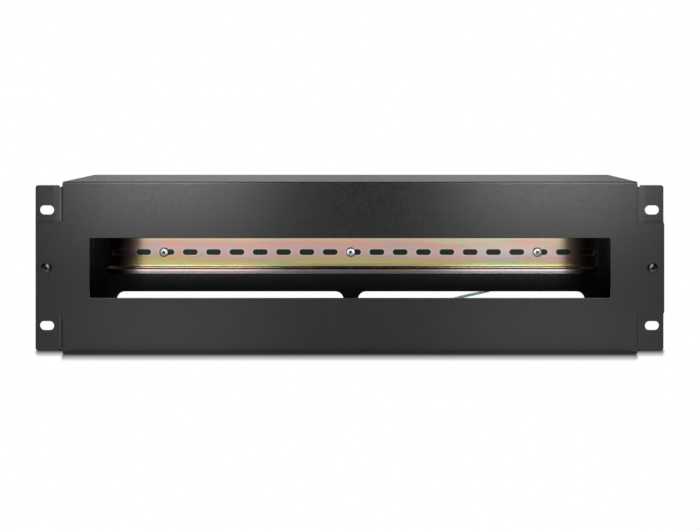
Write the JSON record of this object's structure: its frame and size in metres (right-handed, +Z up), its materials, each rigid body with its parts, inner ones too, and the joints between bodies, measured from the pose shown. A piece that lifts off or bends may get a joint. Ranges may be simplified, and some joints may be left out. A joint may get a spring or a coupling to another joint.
{
  "type": "rackmount chassis",
  "caption": "Folded steel rack chassis: a tray with slotted ears and rear cable entries, a windowed cover over a slotted mounting rail, and an earth lead.",
  "frame": {"origin": "centre of the rack slot pattern, on the rear face of the ears", "axes": "+X to the right along the panel, +Y to the rear, through the ears into the rack, +Z up"},
  "size_m": [0.483, 0.1176, 0.1324],
  "materials": {
    "powder_coat": "fine-textured black powder coat, semi-matt",
    "yellow_zinc": "zinc plate with a yellow, iridescent passivation",
    "bright_zinc": "bright zinc plate",
    "black_zinc": "black zinc plate, semi-gloss",
    "tinned_copper": "tin plate",
    "green_sleeve": "smooth extruded insulation"
  },
  "bodies": {
    "root": {"chassis_tray": "powder_coat", "front_cover": "powder_coat", "din_rail": "yellow_zinc", "rail_screw_left": "bright_zinc", "rail_screw_middle": "bright_zinc", "rail_screw_right": "bright_zinc", "rail_nut_left": "bright_zinc", "rail_nut_middle": "bright_zinc", "rail_nut_right": "bright_zinc", "cover_screw_left": "black_zinc", "cover_screw_right": "black_zinc", "cover_nut_left": "bright_zinc", "cover_nut_right": "bright_zinc", "tray_earth_stud": "bright_zinc", "tray_earth_lug": "tinned_copper", "tray_earth_washer": "bright_zinc", "tray_earth_nut": "bright_zinc", "cover_earth_stud": "bright_zinc", "cover_earth_lug": "tinned_copper", "cover_earth_washer": "bright_zinc", "cover_earth_nut": "bright_zinc", "earth_wire": "green_sleeve"}
  },
  "joints": []
}
